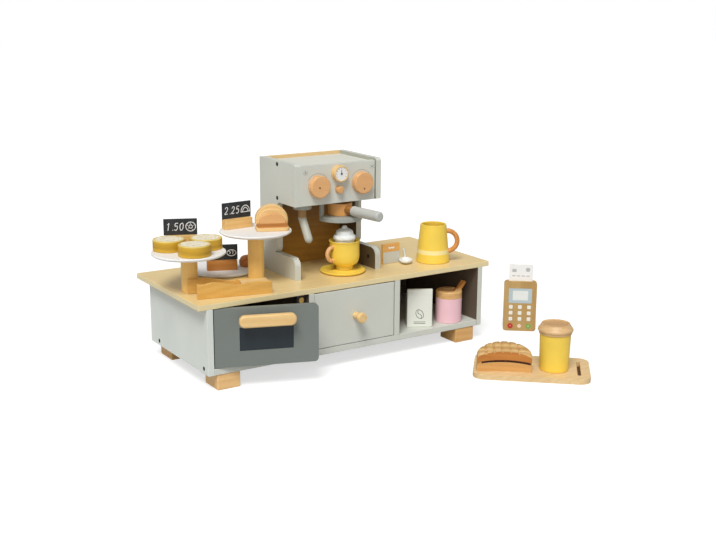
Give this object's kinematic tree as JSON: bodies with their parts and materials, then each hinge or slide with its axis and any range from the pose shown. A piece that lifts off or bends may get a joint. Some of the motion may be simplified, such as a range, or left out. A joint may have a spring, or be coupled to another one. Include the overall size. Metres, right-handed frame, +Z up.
{
  "type": "toy coffee shop",
  "caption": "Wooden toy coffee shop: a counter with an opening grill, a drawer and a shelf, an espresso machine on top, and loose cups, cakes, stands, a serving tray and a card terminal.",
  "frame": {"origin": "on the floor, under the middle of the whole set's bounding box", "axes": "+X to the right along the counter, +Y to its back, +Z up; the open front of the counter faces -Y"},
  "size_m": [0.7462, 0.5574, 0.354],
  "materials": {
    "grey_paint": "satin paint",
    "door_paint": "satin paint",
    "glazing": "glossy, dark and opaque",
    "dark_paint": "satin paint",
    "birch": "clear satin lacquer",
    "beech": "clear satin lacquer",
    "pale_beech": "clear satin lacquer",
    "white_paint": "satin paint",
    "pale_paint": "satin paint",
    "yellow_paint": "satin paint",
    "cake_paint": "satin paint",
    "pink_paint": "satin paint",
    "black_board": "matt chalkboard paint",
    "bag_paint": "satin paint"
  },
  "bodies": {
    "counter": {"worktop": "birch", "left_side_panel": "grey_paint", "right_side_panel": "grey_paint", "bottom_panel": "grey_paint", "back_panel": "grey_paint", "left_divider": "grey_paint", "right_divider": "grey_paint", "front_left_foot": "pale_beech", "front_right_foot": "pale_beech", "rear_left_foot": "pale_beech", "rear_right_foot": "pale_beech", "door_catch": "dark_paint", "machine_left_side": "grey_paint", "machine_right_side": "grey_paint", "machine_back": "birch", "machine_front": "grey_paint", "machine_top_shelf": "grey_paint", "machine_head_floor": "grey_paint", "pressure_gauge": "pale_beech", "filter_holder": "grey_paint"},
    "door": {"grill_door": "door_paint", "grill_window": "glazing", "grill_handle": "pale_beech"},
    "drawer": {"drawer_front": "grey_paint", "drawer_box": "birch", "drawer_knob": "pale_beech"},
    "dial_left": {"left_dial": "beech"},
    "dial_right": {"right_dial": "beech"},
    "knob": {"small_knob": "beech"},
    "wand": {"steam_wand": "pale_paint"},
    "filter": {"portafilter": "beech", "portafilter_handle": "pale_paint"},
    "cup_saucer": {"saucer": "yellow_paint"},
    "cup": {"coffee_cup": "yellow_paint"},
    "cream": {"whipped_cream": "white_paint"},
    "jug": {"milk_jug": "yellow_paint"},
    "packet": {"tea_packet": "beech"},
    "tea_spoon": {"teaspoon": "white_paint"},
    "low_stand": {"low_cake_stand": "white_paint"},
    "cake_a": {"cake_1": "cake_paint"},
    "cake_b": {"cake_2": "cake_paint"},
    "cake_c": {"cake_3": "cake_paint"},
    "sign_a": {"price_sign_1": "black_board"},
    "tall_stand": {"tall_cake_stand": "white_paint"},
    "sign_b": {"price_sign_2": "black_board"},
    "roll": {"bread_roll": "pale_beech"},
    "plate": {"serving_plate": "white_paint"},
    "sign_c": {"price_sign_3": "black_board"},
    "small_pastry": {"pastry": "pale_beech"},
    "tong_pair": {"tongs": "beech"},
    "bag": {"coffee_bag": "bag_paint"},
    "jar": {"sugar_jar": "pink_paint"},
    "lid": {"jar_lid": "pale_beech"},
    "sugar_spoon": {"jar_spoon": "beech"},
    "terminal": {"card_terminal": "beech"},
    "card": {"bank_card": "white_paint"},
    "tray": {"serving_tray": "pale_beech"},
    "croissant_piece": {"croissant": "beech"},
    "paper_cup": {"togo_cup": "yellow_paint"},
    "paper_cup_lid": {"togo_lid": "beech"}
  },
  "joints": [
    {"name": "grill_door_hinge", "type": "hinge", "parent": "counter", "child": "door", "pos_m": [-0.30726, 0.02521, 0.0895], "axis": [0, 0, -1], "range_deg": [-19, 81]},
    {"name": "drawer_slide", "type": "slide", "parent": "counter", "child": "drawer", "axis": [0, -1, 0], "range_m": [0, 0.15]},
    {"name": "left_dial_turn", "type": "hinge", "parent": "counter", "child": "dial_left", "pos_m": [-0.08086, 0.07871, 0.3135], "axis": [0, -1, 0], "continuous": true},
    {"name": "right_dial_turn", "type": "hinge", "parent": "counter", "child": "dial_right", "pos_m": [0.00834, 0.07871, 0.3135], "axis": [0, -1, 0], "continuous": true},
    {"name": "small_knob_turn", "type": "hinge", "parent": "counter", "child": "knob", "pos_m": [-0.03916, 0.07871, 0.3048], "axis": [0, -1, 0], "continuous": true},
    {"name": "steam_wand_swing", "type": "hinge", "parent": "counter", "child": "wand", "pos_m": [-0.09676, 0.10571, 0.2802], "axis": [0, 0, 1], "range_deg": [-20, 70]},
    {"name": "portafilter_turn", "type": "hinge", "parent": "counter", "child": "filter", "pos_m": [-0.01876, 0.10571, 0.265], "axis": [0, 0, 1], "range_deg": [-30, 30]},
    {"name": "saucer_slide", "type": "slide", "parent": "counter", "child": "cup_saucer", "axis": [0, -1, 0], "range_m": [0, 0.03]},
    {"name": "cup_lift", "type": "slide", "parent": "cup_saucer", "child": "cup", "axis": [0, 0, 1], "range_m": [0, 0.005]},
    {"name": "cream_lift", "type": "slide", "parent": "cup", "child": "cream", "axis": [0, 0, 1], "range_m": [0, 0.005]},
    {"name": "jug_lift", "type": "slide", "parent": "counter", "child": "jug", "axis": [0, 0, 1], "range_m": [0, 0.05]},
    {"name": "tea_packet_lift", "type": "slide", "parent": "counter", "child": "packet", "axis": [0, 0, 1], "range_m": [0, 0.04]},
    {"name": "teaspoon_lift", "type": "slide", "parent": "counter", "child": "tea_spoon", "axis": [0, 0, 1], "range_m": [0, 0.04]},
    {"name": "low_stand_lift", "type": "slide", "parent": "counter", "child": "low_stand", "axis": [0, 0, 1], "range_m": [0, 0.03]},
    {"name": "cake_1_lift", "type": "slide", "parent": "low_stand", "child": "cake_a", "axis": [0, 0, 1], "range_m": [0, 0.03]},
    {"name": "cake_2_lift", "type": "slide", "parent": "low_stand", "child": "cake_b", "axis": [0, 0, 1], "range_m": [0, 0.03]},
    {"name": "cake_3_lift", "type": "slide", "parent": "low_stand", "child": "cake_c", "axis": [0, 0, 1], "range_m": [0, 0.03]},
    {"name": "price_sign_1_lift", "type": "slide", "parent": "low_stand", "child": "sign_a", "axis": [0, 0, 1], "range_m": [0, 0.03]},
    {"name": "tall_stand_lift", "type": "slide", "parent": "counter", "child": "tall_stand", "axis": [0, 0, 1], "range_m": [0, 0.02]},
    {"name": "price_sign_2_lift", "type": "slide", "parent": "tall_stand", "child": "sign_b", "axis": [0, 0, 1], "range_m": [0, 0.03]},
    {"name": "bread_roll_lift", "type": "slide", "parent": "tall_stand", "child": "roll", "axis": [0, 0, 1], "range_m": [0, 0.02]},
    {"name": "serving_plate_lift", "type": "slide", "parent": "counter", "child": "plate", "axis": [0, 0, 1], "range_m": [0, 0.015]},
    {"name": "price_sign_3_lift", "type": "slide", "parent": "plate", "child": "sign_c", "axis": [0, 0, 1], "range_m": [0, 0.02]},
    {"name": "pastry_lift", "type": "slide", "parent": "plate", "child": "small_pastry", "axis": [0, 0, 1], "range_m": [0, 0.02]},
    {"name": "tongs_lift", "type": "slide", "parent": "counter", "child": "tong_pair", "axis": [0, 0, 1], "range_m": [0, 0.02]},
    {"name": "coffee_bag_slide", "type": "slide", "parent": "counter", "child": "bag", "axis": [0, -1, 0], "range_m": [0, 0.06]},
    {"name": "sugar_jar_slide", "type": "slide", "parent": "counter", "child": "jar", "axis": [0, -1, 0], "range_m": [0, 0.06]},
    {"name": "jar_lid_lift", "type": "slide", "parent": "jar", "child": "lid", "axis": [0, 0, 1], "range_m": [0, 0.012]},
    {"name": "jar_spoon_slide", "type": "slide", "parent": "lid", "child": "sugar_spoon", "axis": [0.7002, 0.0984, 0.7071], "range_m": [0, 0.004]},
    {"name": "terminal_lift", "type": "slide", "parent": "counter", "child": "terminal", "axis": [0, 0, 1], "range_m": [0, 0.05]},
    {"name": "bank_card_lift", "type": "slide", "parent": "terminal", "child": "card", "axis": [0, 0, 1], "range_m": [0, 0.022]},
    {"name": "tray_lift", "type": "slide", "parent": "counter", "child": "tray", "axis": [0, 0, 1], "range_m": [0, 0.05]},
    {"name": "croissant_lift", "type": "slide", "parent": "tray", "child": "croissant_piece", "axis": [0, 0, 1], "range_m": [0, 0.04]},
    {"name": "togo_cup_lift", "type": "slide", "parent": "tray", "child": "paper_cup", "axis": [0, 0, 1], "range_m": [0, 0.04]},
    {"name": "togo_lid_lift", "type": "slide", "parent": "paper_cup", "child": "paper_cup_lid", "axis": [0, 0, 1], "range_m": [0, 0.02]}
  ]
}
